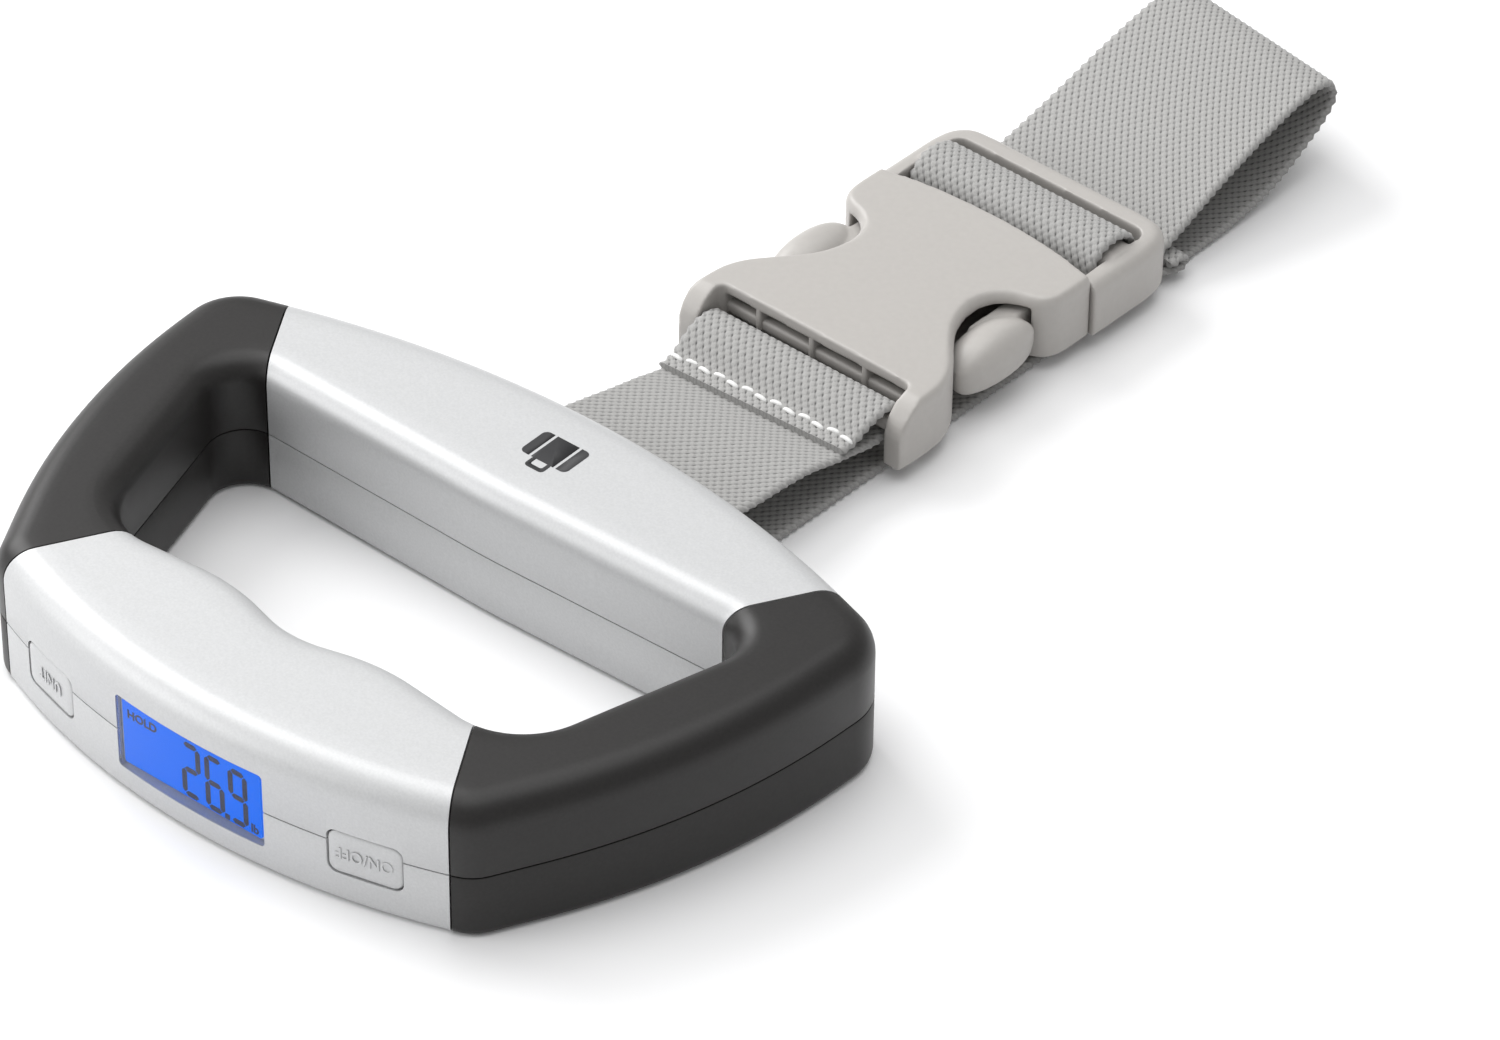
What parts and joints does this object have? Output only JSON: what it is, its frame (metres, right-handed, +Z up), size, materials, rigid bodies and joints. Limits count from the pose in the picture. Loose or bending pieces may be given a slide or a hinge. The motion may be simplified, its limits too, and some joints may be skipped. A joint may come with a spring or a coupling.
{
  "type": "digital luggage scale",
  "caption": "Hand-held luggage scale: a silver handle ring with rubber grips and a backlit display, and a webbing strap closed by a side-release buckle.",
  "frame": {"origin": "on the underside plane, straight below the axis of the strap pin and in the middle of the housing width", "axes": "+X to the right of a person facing the display, +Y from the display towards the strap, +Z up"},
  "size_m": [0.1328, 0.2497, 0.024],
  "materials": {
    "silver_paint": "satin",
    "grip_rubber": "matt",
    "clear_lens": "clear",
    "lcd_glass": "clear",
    "backlight": "gloss",
    "black_plastic": "matt",
    "zebra_rubber": "matt",
    "board": "satin",
    "cell_jacket": "satin",
    "spring_steel": "satin",
    "alloy": "satin",
    "gauge_foil": "satin",
    "steel": "satin",
    "wire_sleeve": "satin",
    "webbing": "woven",
    "buckle_plastic": "satin"
  },
  "bodies": {
    "housing": {"top_shell": "silver_paint", "bottom_shell": "silver_paint", "grip_top_right": "grip_rubber", "grip_top_left": "grip_rubber", "grip_bottom_right": "grip_rubber", "grip_bottom_left": "grip_rubber", "display_lens": "clear_lens", "lcd_panel": "lcd_glass", "lcd_backlight": "backlight", "lcd_frame": "black_plastic", "zebra_strip": "zebra_rubber", "circuit_board": "board", "controller_chip": "black_plastic", "on_off_switch": "black_plastic", "unit_switch": "black_plastic", "battery_cell": "cell_jacket", "battery_contact": "spring_steel", "battery_spring": "spring_steel", "load_cell": "alloy", "strain_gauges": "gauge_foil", "load_cell_bolts": "steel", "pull_yoke": "steel", "yoke_screws": "steel", "strap_pin": "steel", "housing_screws": "steel", "load_cell_wires": "wire_sleeve"},
    "on_off_button_body": {"on_off_button": "silver_paint"},
    "unit_button_body": {"unit_button": "silver_paint"},
    "battery_door_body": {"battery_door": "silver_paint"},
    "strap": {"strap_upper": "webbing", "strap_lower": "webbing", "buckle_female": "buckle_plastic"},
    "male": {"strap_loop": "webbing", "buckle_male": "buckle_plastic"},
    "latch_right": {"latch_arm_right": "buckle_plastic"},
    "latch_left": {"latch_arm_left": "buckle_plastic"}
  },
  "joints": [
    {"name": "on_off_press", "type": "slide", "parent": "housing", "child": "on_off_button_body", "axis": [0, 1, 0], "range_m": [0, 0.0005], "stiffness_N_per_m": 2500},
    {"name": "unit_press", "type": "slide", "parent": "housing", "child": "unit_button_body", "axis": [0, 1, 0], "range_m": [0, 0.0005], "stiffness_N_per_m": 2500},
    {"name": "battery_door_hinge", "type": "hinge", "parent": "housing", "child": "battery_door_body", "pos_m": [0.024, -0.0656, 0.0011], "axis": [0, -1, 0], "range_deg": [0, 80]},
    {"name": "strap_swing", "type": "hinge", "parent": "housing", "child": "strap", "pos_m": [0, 0, 0.0112], "axis": [1, 0, 0], "range_deg": [0, 20]},
    {"name": "buckle_release", "type": "slide", "parent": "strap", "child": "male", "axis": [0.0401, 0.9992, 0], "range_m": [0, 0.026], "deforming": ["latch_arm_right", "latch_arm_left"]},
    {"name": "latch_right_squeeze", "type": "hinge", "parent": "male", "child": "latch_right", "pos_m": [0.02172, 0.0949, 0.0083], "axis": [0, 0, -1], "range_deg": [0, 6], "stiffness_Nm_per_rad": 0.6},
    {"name": "latch_left_squeeze", "type": "hinge", "parent": "male", "child": "latch_left", "pos_m": [-0.00945, 0.09615, 0.0083], "axis": [0, 0, 1], "range_deg": [0, 6], "stiffness_Nm_per_rad": 0.6}
  ]
}
